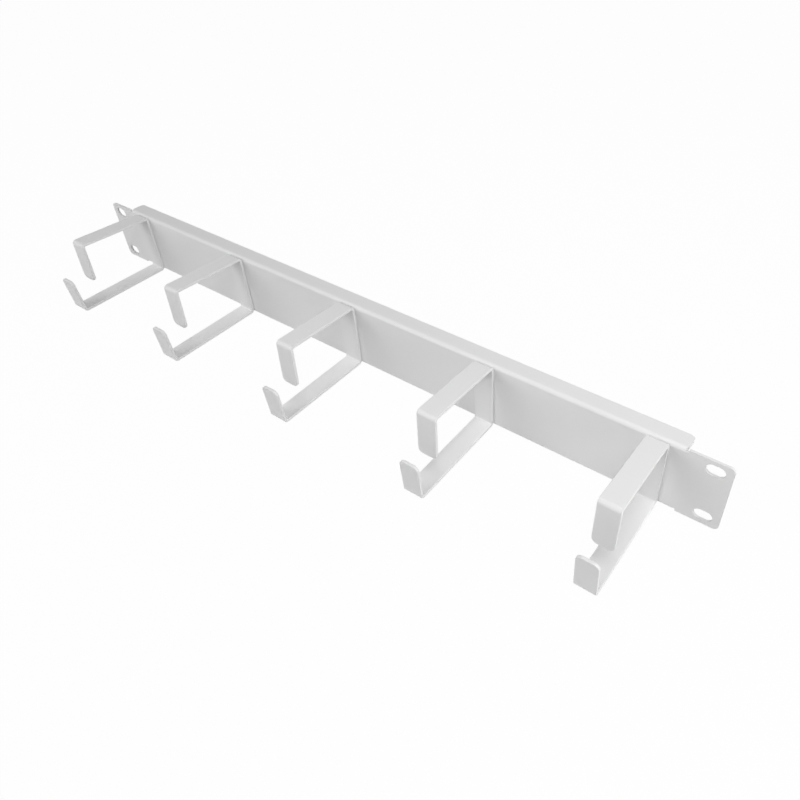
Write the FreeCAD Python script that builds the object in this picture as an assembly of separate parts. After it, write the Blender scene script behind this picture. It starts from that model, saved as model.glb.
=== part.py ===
import FreeCAD, Part
import os
from math import cos, radians, sin, tan
from FreeCAD import Vector

# Horizontal cable manager for a 19-inch rack, one rack unit high.
# One folded steel panel carries five open cable rings, each bent from flat strip
# and resistance-welded to the panel's front face.
#
# Frame, in millimetres: X runs along the rack's width, the rings point to -Y,
# +Z is up. The origin is the centre of the four rack slots, on the rear face of
# the ears, which is the face that meets the rack's rails.

# ---- panel ---------------------------------------------------------------------
PANEL_WIDTH = 482.6         # 19-inch front, over the ears
BODY_HEIGHT = 44.0          # over both folded flanges, inside one 44.45 mm unit
EAR_HEIGHT = 43.4           # the ears stand a little inside the flanges
SHEET = 1.5                 # steel sheet thickness
PANEL_BEND = 1.0            # inside radius of the flange bends
FLANGE_DEPTH = 10.6         # from the panel's front face to the flange's rear edge
FLANGE_HALF_LENGTH = 218.0  # the flanges stop just short of the ears
FLANGE_CORNER = 2.5         # rounded rear corners of the flanges
EAR_CORNER = 3.0            # rounded outer corners of the ears

# ---- bend relief between a flange and an ear -----------------------------------
RELIEF_WIDTH = 1.4
RELIEF_FLOOR = 20.2         # height of the notch's flat floor above the middle
RELIEF_LEAD = 0.5           # radius on the ear's edge where it enters the notch
FLANGE_SHOULDER = 0.8       # the flange's round shoulder overhangs the notch by this
SHOULDER_GAP = 0.3          # air between the overhang and the ear's rear face

# ---- rack slots ----------------------------------------------------------------
SLOT_SPACING_X = 465.1
SLOT_SPACING_Z = 31.75      # first to third hole of a rack unit
SLOT_LENGTH = 10.0          # end to end
SLOT_HEIGHT = 6.8

# ---- rings ---------------------------------------------------------------------
RING_COUNT = 5
RING_PITCH = 101.6
STRIP_WIDTH = 12.0
STRIP = 1.8                 # strip thickness
STRIP_BEND = 0.8            # inside radius of the strip's bends
STRIP_EDGE = 0.25           # chamfer that breaks the strip's edges
RING_HEIGHT = 43.4          # outside height at the panel
UPPER_REACH = 51.9          # panel face to the outside of the upper front corner
LOWER_REACH = 66.6          # panel face to the outside of the lower front corner
ARM_SPLAY = 1.5             # degrees each arm opens away from level
FRONT_LEG = 28.4            # hanging leg, from the outside of its corner
FRONT_LEG_LEAN = 2.0        # degrees it leans outwards
LIP = 24.8                  # standing lip, from the outside of its corner
LIP_LEAN = 3.8              # degrees it leans outwards
END_CORNER = 3.3            # rounded corners of the leg's and the lip's free end

# ---- weld marks on the back of the panel ---------------------------------------
WELD_MARK_DIAMETER = 5.0
WELD_MARK_DEPTH = 0.12
WELD_SPACING = 22.0         # two welds to each ring

FACE_Y = -SHEET             # the panel's front face
THROUGH = 3 * SHEET         # length of a cut that starts one sheet ahead of the panel
NEAR = 0.01                 # how closely an edge's middle must match a given point


# ---- shared helpers ------------------------------------------------------------

def slab(width, depth, height, front):
    """Box centred across and up, reaching back from a front face."""
    return Part.makeBox(width, depth, height, Vector(-width / 2, front, -height / 2))


def four_ways(x, y, z):
    """A point and its mirror images across the panel's two middle planes."""
    return [Vector(x * side, y, z * up) for side in (1, -1) for up in (1, -1)]


def edges_at(shape, middles):
    """Edges of the shape whose middles are the given points."""
    return [edge for edge in shape.Edges
            if min(edge.CenterOfMass.distanceToPoint(point) for point in middles) < NEAR]


def rounded(shape, radius, middles):
    """The shape with the edges at the given middles rounded."""
    return shape.makeFillet(radius, edges_at(shape, middles))


def through_slot(start, end, width):
    """Round-ended cut through the sheet, between the centres of its two ends."""
    back = Vector(0, THROUGH, 0)
    half = back.cross(end - start).normalize() * (width / 2)
    outline = Part.makePolygon([start + half, end + half, end - half, start - half, start + half])
    ends = [Part.makeCylinder(width / 2, THROUGH, centre, back) for centre in (start, end)]
    return Part.Face(outline).extrude(back).fuse(ends).removeSplitter()


# ---- panel ---------------------------------------------------------------------

def channel():
    """Web with a flange folded backwards along its top and its bottom edge."""
    length = 2 * FLANGE_HALF_LENGTH
    inner_height = BODY_HEIGHT - 2 * SHEET
    outside = slab(length, FLANGE_DEPTH, BODY_HEIGHT, FACE_Y)
    outside = rounded(outside, PANEL_BEND + SHEET, four_ways(0, FACE_Y, BODY_HEIGHT / 2))
    inside = slab(length, FLANGE_DEPTH, inner_height, 0)
    inside = rounded(inside, PANEL_BEND, four_ways(0, 0, inner_height / 2))
    return outside.cut(inside)


def flange_plan():
    """Outline of the flanges seen from above, as a block the channel is trimmed to."""
    rear = FACE_Y + FLANGE_DEPTH
    flange = slab(2 * FLANGE_HALF_LENGTH, rear - SHOULDER_GAP, BODY_HEIGHT, SHOULDER_GAP)
    flange = rounded(flange, FLANGE_CORNER, four_ways(FLANGE_HALF_LENGTH, rear, 0))
    flange = rounded(flange, FLANGE_SHOULDER, four_ways(FLANGE_HALF_LENGTH, SHOULDER_GAP, 0))
    web_length = 2 * (FLANGE_HALF_LENGTH - FLANGE_SHOULDER)
    return flange.fuse(slab(web_length, 2 * SHEET, BODY_HEIGHT, FACE_Y))


def flat_plate():
    """Flat part of the sheet: the web between the bends, the ears and their necks."""
    relief_inner = FLANGE_HALF_LENGTH - FLANGE_SHOULDER
    relief_outer = relief_inner + RELIEF_WIDTH
    web_height = BODY_HEIGHT - 2 * (PANEL_BEND + SHEET)
    ear_top = EAR_HEIGHT / 2
    middle_y = FACE_Y / 2

    whole = slab(PANEL_WIDTH, SHEET, EAR_HEIGHT, FACE_Y)
    ears = whole.cut(slab(2 * relief_outer, SHEET, EAR_HEIGHT, FACE_Y))
    necks = slab(2 * relief_outer, SHEET, 2 * RELIEF_FLOOR, FACE_Y)
    necks = necks.cut(slab(2 * relief_inner, SHEET, EAR_HEIGHT, FACE_Y))
    web = slab(2 * relief_inner, SHEET, web_height, FACE_Y)
    plate = web.fuse([necks, ears]).removeSplitter()

    plate = rounded(plate, RELIEF_LEAD, four_ways(relief_outer, middle_y, ear_top))
    return rounded(plate, EAR_CORNER, four_ways(PANEL_WIDTH / 2, middle_y, ear_top))


def rack_slots():
    """Four level slots with round ends, one pair in each ear."""
    half_travel = Vector((SLOT_LENGTH - SLOT_HEIGHT) / 2, 0, 0)
    centres = four_ways(SLOT_SPACING_X / 2, FACE_Y - SHEET, SLOT_SPACING_Z / 2)
    return [through_slot(centre - half_travel, centre + half_travel, SLOT_HEIGHT) for centre in centres]


def weld_marks():
    """Shallow electrode marks in the panel's rear face, two behind each ring."""
    return [Part.makeCylinder(WELD_MARK_DIAMETER / 2, SHEET, Vector(x, -WELD_MARK_DEPTH, z), Vector(0, 1, 0))
            for x in ring_positions() for z in (-WELD_SPACING / 2, WELD_SPACING / 2)]


def rack_panel():
    """The whole folded sheet."""
    panel = channel().common(flange_plan()).fuse(flat_plate()).removeSplitter()
    return panel.cut(rack_slots() + weld_marks())


# ---- rings ---------------------------------------------------------------------

def ring_positions():
    first = -RING_PITCH * (RING_COUNT - 1) / 2
    return [first + RING_PITCH * number for number in range(RING_COUNT)]


def outside_corners():
    """Sharp outside corners of the bent strip, from the hanging leg's end to the lip's."""
    splay = radians(ARM_SPLAY)
    leg_lean = radians(FRONT_LEG_LEAN)
    lip_lean = radians(LIP_LEAN)
    upper_back = Vector(0, FACE_Y, RING_HEIGHT / 2)
    lower_back = Vector(0, FACE_Y, -RING_HEIGHT / 2)
    upper_front = upper_back + Vector(0, -1, tan(splay)) * UPPER_REACH
    lower_front = lower_back + Vector(0, -1, -tan(splay)) * LOWER_REACH
    leg_end = upper_front + Vector(0, -sin(leg_lean), -cos(leg_lean)) * FRONT_LEG
    lip_end = lower_front + Vector(0, -sin(lip_lean), cos(lip_lean)) * LIP
    return [leg_end, upper_front, upper_back, lower_back, lower_front, lip_end]


def inside_corners(outside):
    """The same corners on the strip's inner face, one thickness away."""
    runs = [(end - start).normalize() for start, end in zip(outside, outside[1:])]
    inward = [run.cross(Vector(1, 0, 0)) for run in runs]
    mitres = [(first + second) / (1 + first.dot(second)) for first, second in zip(inward, inward[1:])]
    steps = [inward[0]] + mitres + [inward[-1]]
    return [corner + step * STRIP for corner, step in zip(outside, steps)]


def cable_ring(x):
    """One open ring of flat strip, its back leg flat on the panel's front face."""
    outside = outside_corners()
    inside = inside_corners(outside)
    outline = Part.makePolygon(outside + inside[::-1] + outside[:1])
    ring = Part.Face(outline).extrude(Vector(STRIP_WIDTH, 0, 0))

    middle = Vector(STRIP_WIDTH / 2, 0, 0)
    ring = rounded(ring, STRIP_BEND + STRIP, [corner + middle for corner in outside[1:-1]])
    ring = rounded(ring, STRIP_BEND, [corner + middle for corner in inside[1:-1]])

    tips = [(outside[end] + inside[end]) / 2 for end in (0, -1)]
    ring = rounded(ring, END_CORNER, tips + [tip + middle * 2 for tip in tips])

    # One edge of the outer and one of the inner face are enough: the chamfer runs on
    # round the whole strip, through its bends and rounded ends.
    back_leg = [Vector(0, FACE_Y, 0), Vector(0, FACE_Y - STRIP, 0)]
    ring = ring.makeChamfer(STRIP_EDGE, edges_at(ring, back_leg))
    ring.translate(Vector(x, 0, 0) - middle)
    return ring


def main():
    os.makedirs("parts", exist_ok=True)
    rack_panel().exportStep("parts/rack_panel.step")
    for number, x in enumerate(ring_positions(), start=1):
        cable_ring(x).exportStep("parts/cable_ring_%d.step" % number)


main()
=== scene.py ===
import bpy
from mathutils import Matrix, Vector


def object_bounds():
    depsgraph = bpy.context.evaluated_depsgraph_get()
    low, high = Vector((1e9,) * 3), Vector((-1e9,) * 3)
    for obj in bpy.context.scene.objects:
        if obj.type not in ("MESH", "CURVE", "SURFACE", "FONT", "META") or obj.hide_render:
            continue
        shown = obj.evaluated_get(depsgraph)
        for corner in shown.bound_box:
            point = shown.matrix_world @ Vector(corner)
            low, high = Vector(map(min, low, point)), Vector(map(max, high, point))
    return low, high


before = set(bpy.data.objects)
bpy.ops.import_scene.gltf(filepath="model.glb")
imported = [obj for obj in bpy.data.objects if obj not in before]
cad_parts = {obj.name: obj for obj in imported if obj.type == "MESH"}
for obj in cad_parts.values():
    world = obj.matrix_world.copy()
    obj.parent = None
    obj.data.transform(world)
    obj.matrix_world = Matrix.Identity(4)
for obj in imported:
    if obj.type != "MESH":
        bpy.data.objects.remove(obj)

bl_info = {
    "name": "Horizontal Cable Manager",
    "version": (1, 0, 0),
    "blender": (4, 5, 0),
    "location": "3D View > Sidebar > Cable Manager",
    "description": "Powder-coated finish and studio for a one-unit rack cable manager",
    "category": "Object",
}

MM = 0.001
CAD_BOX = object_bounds()
PANEL = "rack_panel"
RINGS = sorted(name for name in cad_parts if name.startswith("cable_ring_"))

# ---- studio, in metres -----------------------------------------------------------

PAPER = "D8D8D8"            # matt white floor, as the lamps light it
FLOOR_WHITE = 0.975         # share of plain white in the floor as it is seen; the rest shows shadow
SKY_WHITE = 0.985           # the world as it is seen, near the floor's tone so the horizon is faint
CAMERA_PLACE = (0.27297, -0.24849, 0.26352)
CAMERA_RIGHT = (0.82032, 0.57186, -0.00692)
CAMERA_DOWN = (0.36152, -0.5279, -0.76852)
CAMERA_SHIFT = (-0.1006, -0.0317)
MIDDLE = (0.0, -0.02, 0.0)  # between the panel and the fronts of the rings


# ---- colours and nodes ---------------------------------------------------------

def linear(hex_colour):
    """sRGB hex, such as E6E6E6, as the linear RGBA that shaders take."""
    channels = [int(hex_colour[start:start + 2], 16) / 255 for start in (0, 2, 4)]
    return tuple(c / 12.92 if c <= 0.04045 else ((c + 0.055) / 1.055) ** 2.4 for c in channels) + (1.0,)


def add(tree, kind, links=(), inputs=(), **settings):
    """Add one node with its settings, its socket values and the links that feed it."""
    made = tree.nodes.new("ShaderNode" + kind)
    for name, value in settings.items():
        setattr(made, name, value)
    for socket, value in dict(inputs).items():
        made.inputs[socket].default_value = value
    for socket, source in dict(links).items():
        tree.links.new(source, made.inputs[socket])
    return made


def new_material(name):
    """An empty node material of that name."""
    material = bpy.data.materials.new(name)
    material.use_nodes = True
    material.node_tree.nodes.clear()
    return material


# ---- settings that a user would change -------------------------------------------

class CoatSettings(bpy.types.PropertyGroup):
    """The powder coat on the panel and the rings."""
    colour: bpy.props.FloatVectorProperty(
        name="Powder colour", description="Colour of the cured powder",
        subtype="COLOR", size=4, min=0.0, max=1.0, default=linear("E6E6E6"))
    roughness: bpy.props.FloatProperty(
        name="Roughness", description="Satin powder, about 30 gloss units",
        subtype="FACTOR", min=0.0, max=1.0, default=0.5)
    peel_width: bpy.props.FloatProperty(
        name="Orange peel width", description="Distance between the peel's waves",
        subtype="DISTANCE", unit="LENGTH", min=0.0005, max=0.01, default=2.4 * MM)
    peel_height: bpy.props.FloatProperty(
        name="Orange peel height", description="Height of the peel's waves",
        subtype="DISTANCE", unit="LENGTH", min=0.0, max=0.0005, default=0.008 * MM)


class StudioSettings(bpy.types.PropertyGroup):
    """Camera, floor and lamps."""
    focal_length: bpy.props.FloatProperty(
        name="Focal length", description="In millimetres on a 36 mm wide sensor",
        min=10.0, max=200.0, default=31.937)
    floor_size: bpy.props.FloatProperty(
        name="Floor size", description="Side of the square floor",
        subtype="DISTANCE", unit="LENGTH", min=1.0, max=50.0, default=12.0)
    key_power: bpy.props.FloatProperty(
        name="Key power", description="Power of the lamp above the right end",
        subtype="POWER", unit="POWER", min=0.0, max=1000.0, default=2.8)
    fill_power: bpy.props.FloatProperty(
        name="Fill power", description="Power of the large soft lamp at the front left",
        subtype="POWER", unit="POWER", min=0.0, max=1000.0, default=12.1)
    side_power: bpy.props.FloatProperty(
        name="Side power", description="Power of the low lamp at the right",
        subtype="POWER", unit="POWER", min=0.0, max=1000.0, default=2.2)
    back_power: bpy.props.FloatProperty(
        name="Back power", description="Power of the low lamp behind the panel",
        subtype="POWER", unit="POWER", min=0.0, max=1000.0, default=17.8)
    world_level: bpy.props.FloatProperty(
        name="World level", description="Strength of the even light from all round",
        min=0.0, max=2.0, default=0.1)


# ---- finish ----------------------------------------------------------------------

def satin_powder_coat(settings):
    """Polyester powder on mild steel, sprayed and baked: an even, slightly dimpled
    satin skin whose reflections are soft and break up a little at close range."""
    material = new_material("satin_polyester_powder_coat_on_mild_steel")
    tree = material.node_tree
    coords = add(tree, "TexCoord")
    place = {"Vector": coords.outputs["Object"]}

    # Orange peel: long waves from the flow of the powder, short ones from its grains.
    waves = add(tree, "TexNoise", place,
                {"Scale": 1 / settings.peel_width, "Detail": 2.0, "Roughness": 0.45})
    grains = add(tree, "TexNoise", place, {"Scale": 1 / (0.7 * MM), "Detail": 1.0, "Roughness": 0.5})
    height = add(tree, "Math", {0: grains.outputs["Fac"], 2: waves.outputs["Fac"]}, {1: 0.3},
                 operation="MULTIPLY_ADD")
    # Powder draws back to a small radius over every edge of the sheet.
    edges = add(tree, "Bevel", (), {"Radius": 0.3 * MM}, samples=6)
    peel = add(tree, "Bump", {"Height": height.outputs["Value"], "Normal": edges.outputs["Normal"]},
               {"Strength": 1.0, "Distance": settings.peel_height})

    # Film thickness drifts over a hand's width, and with it the tone and the gloss.
    drift = add(tree, "TexNoise", place, {"Scale": 1 / (90 * MM), "Detail": 2.0, "Roughness": 0.5})
    tone = add(tree, "MapRange", {"Value": drift.outputs["Fac"]}, {"To Min": 0.97, "To Max": 1.02})
    colour = add(tree, "VectorMath", {"Scale": tone.outputs["Result"]}, {0: settings.colour[:3]},
                 operation="SCALE")
    gloss = add(tree, "MapRange", {"Value": drift.outputs["Fac"]},
                {"To Min": settings.roughness - 0.04, "To Max": settings.roughness + 0.04})

    coat = add(tree, "BsdfPrincipled",
               {"Base Color": colour.outputs["Vector"], "Roughness": gloss.outputs["Result"],
                "Normal": peel.outputs["Normal"]},
               {"Metallic": 0.0, "IOR": 1.5})
    add(tree, "OutputMaterial", {"Surface": coat.outputs["BSDF"]})
    return material


def powder_coat():
    """The one powder coat that every piece of the object shares."""
    name = "satin_polyester_powder_coat_on_mild_steel"
    return bpy.data.materials.get(name) or satin_powder_coat(bpy.context.scene.manager_coat)


def coat(names):
    """Give the named CAD pieces the powder coat in place of their plain colour."""
    for name in names:
        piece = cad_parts[name]
        for place in piece.material_slots:
            place.material = powder_coat()


class MANAGER_OT_coat_panel(bpy.types.Operator):
    """Coat the folded rack panel"""
    bl_idname = "manager.coat_panel"
    bl_label = "Coat Rack Panel"

    def execute(self, context):
        coat([PANEL])
        return {"FINISHED"}


class MANAGER_OT_coat_rings(bpy.types.Operator):
    """Coat the cable rings"""
    bl_idname = "manager.coat_rings"
    bl_label = "Coat Cable Rings"

    def execute(self, context):
        coat(RINGS)
        return {"FINISHED"}


# ---- studio ----------------------------------------------------------------------

def seen_directly(tree):
    """1 for a ray from the camera, out of a gloss or through glass, and 0 for one that lights."""
    rays = add(tree, "LightPath")
    gloss = add(tree, "Math", {0: rays.outputs["Is Camera Ray"], 1: rays.outputs["Is Glossy Ray"]},
                operation="MAXIMUM")
    glass = add(tree, "Math", {0: gloss.outputs["Value"], 1: rays.outputs["Is Transmission Ray"]},
                operation="MAXIMUM")
    return glass.outputs["Value"]


def white_studio_floor():
    """Matt white paper: it shows plain white, with the object's soft shadow on it."""
    material = new_material("matt_white_paper_floor")
    # Its own white reaches only the camera, gloss and glass, so rays aimed at it as at a
    # lamp would bring grain and no light.
    material.cycles.emission_sampling = "NONE"
    tree = material.node_tree
    paper = add(tree, "BsdfDiffuse", (), {"Color": linear(PAPER)})
    white = add(tree, "Emission", (), {"Color": linear("FFFFFF"), "Strength": 1.0})
    seen = seen_directly(tree)
    share = add(tree, "Math", {0: seen}, {1: FLOOR_WHITE}, operation="MULTIPLY")
    both = add(tree, "MixShader", {0: share.outputs["Value"], 1: paper.outputs["BSDF"],
                                   2: white.outputs["Emission"]})
    add(tree, "OutputMaterial", {"Surface": both.outputs["Shader"]})
    return material


def make_floor(settings):
    """Square floor under the lowest point of the object."""
    half = settings.floor_size / 2
    low = CAD_BOX[0].z
    mesh = bpy.data.meshes.new("studio_floor")
    mesh.from_pydata([(-half, -half, low), (half, -half, low), (half, half, low), (-half, half, low)],
                     [], [(0, 1, 2, 3)])
    mesh.materials.append(white_studio_floor())
    floor = bpy.data.objects.new("studio_floor", mesh)
    bpy.context.scene.collection.objects.link(floor)


def make_lamp(name, place, target, size, power):
    """Square area lamp that points at a target."""
    lamp = bpy.data.lights.new(name, "AREA")
    lamp.shape = "SQUARE"
    lamp.size = size
    lamp.energy = power
    made = bpy.data.objects.new(name, lamp)
    made.visible_camera = False
    made.location = place
    made.rotation_euler = (Vector(target) - Vector(place)).to_track_quat("-Z", "Y").to_euler()
    bpy.context.scene.collection.objects.link(made)


def make_world(level):
    """Even light from all round, plain white where the camera or a reflection sees it."""
    world = bpy.data.worlds.new("plain_studio")
    # It is even and faint, so it needs no rays aimed at it.
    world.cycles.sampling_method = "NONE"
    world.use_nodes = True
    bpy.context.scene.world = world
    tree = world.node_tree
    tree.nodes.clear()
    strength = add(tree, "MapRange", {"Value": seen_directly(tree)},
                   {"To Min": level, "To Max": SKY_WHITE})
    light = add(tree, "Background", {"Strength": strength.outputs["Result"]}, {"Color": linear("FFFFFF")})
    add(tree, "OutputWorld", {"Surface": light.outputs["Background"]})


def make_camera(settings):
    """Camera above the right end of the rings, looking down along them to the left."""
    lens = bpy.data.cameras.new("studio_camera")
    lens.sensor_width = 36.0
    lens.lens = settings.focal_length
    lens.shift_x, lens.shift_y = CAMERA_SHIFT
    lens.clip_start = 0.01
    camera = bpy.data.objects.new("studio_camera", lens)
    right = Vector(CAMERA_RIGHT).normalized()
    down = Vector(CAMERA_DOWN).normalized()
    ahead = right.cross(down).normalized()
    turn = Matrix((right, -down, -ahead)).transposed()
    camera.matrix_world = Matrix.Translation(CAMERA_PLACE) @ turn.to_4x4()
    bpy.context.scene.collection.objects.link(camera)
    bpy.context.scene.camera = camera


class MANAGER_OT_studio(bpy.types.Operator):
    """Set up the floor, lamps, world and camera"""
    bl_idname = "manager.studio"
    bl_label = "Set Up Studio"

    def execute(self, context):
        settings = context.scene.manager_studio
        make_camera(settings)
        make_floor(settings)
        make_world(settings.world_level)
        make_lamp("key_lamp", (0.35, -0.15, 0.66), (0.175, -0.02, 0.0), 0.4, settings.key_power)
        make_lamp("fill_lamp", (-0.69, -1.2, 0.8), MIDDLE, 1.2, settings.fill_power)
        make_lamp("side_lamp", (0.82, 0.0, 0.17), MIDDLE, 0.35, settings.side_power)
        make_lamp("back_lamp", (0.0, 2.2, 0.18), (0.0, 0.0, 0.0), 0.4, settings.back_power)
        context.scene.view_settings.view_transform = "Standard"
        return {"FINISHED"}


# ---- panel and registration ------------------------------------------------------

class MANAGER_PT_sidebar(bpy.types.Panel):
    """Lists the steps in the order in which they run"""
    bl_idname = "MANAGER_PT_sidebar"
    bl_label = "Cable Manager"
    bl_space_type = "VIEW_3D"
    bl_region_type = "UI"
    bl_category = "Cable Manager"

    def draw(self, context):
        layout = self.layout
        for group in (context.scene.manager_coat, context.scene.manager_studio):
            for name in group.__annotations__:
                layout.prop(group, name)
        for step in STEPS:
            layout.operator(step.bl_idname)


STEPS = (MANAGER_OT_studio, MANAGER_OT_coat_panel, MANAGER_OT_coat_rings)
CLASSES = (CoatSettings, StudioSettings, MANAGER_PT_sidebar) + STEPS


def register():
    for each in CLASSES:
        bpy.utils.register_class(each)
    bpy.types.Scene.manager_coat = bpy.props.PointerProperty(type=CoatSettings)
    bpy.types.Scene.manager_studio = bpy.props.PointerProperty(type=StudioSettings)


def unregister():
    del bpy.types.Scene.manager_studio
    del bpy.types.Scene.manager_coat
    for each in reversed(CLASSES):
        bpy.utils.unregister_class(each)


def main():
    register()
    bpy.ops.manager.studio()
    bpy.ops.manager.coat_panel()
    bpy.ops.manager.coat_rings()


if __name__ == "__main__":
    main()
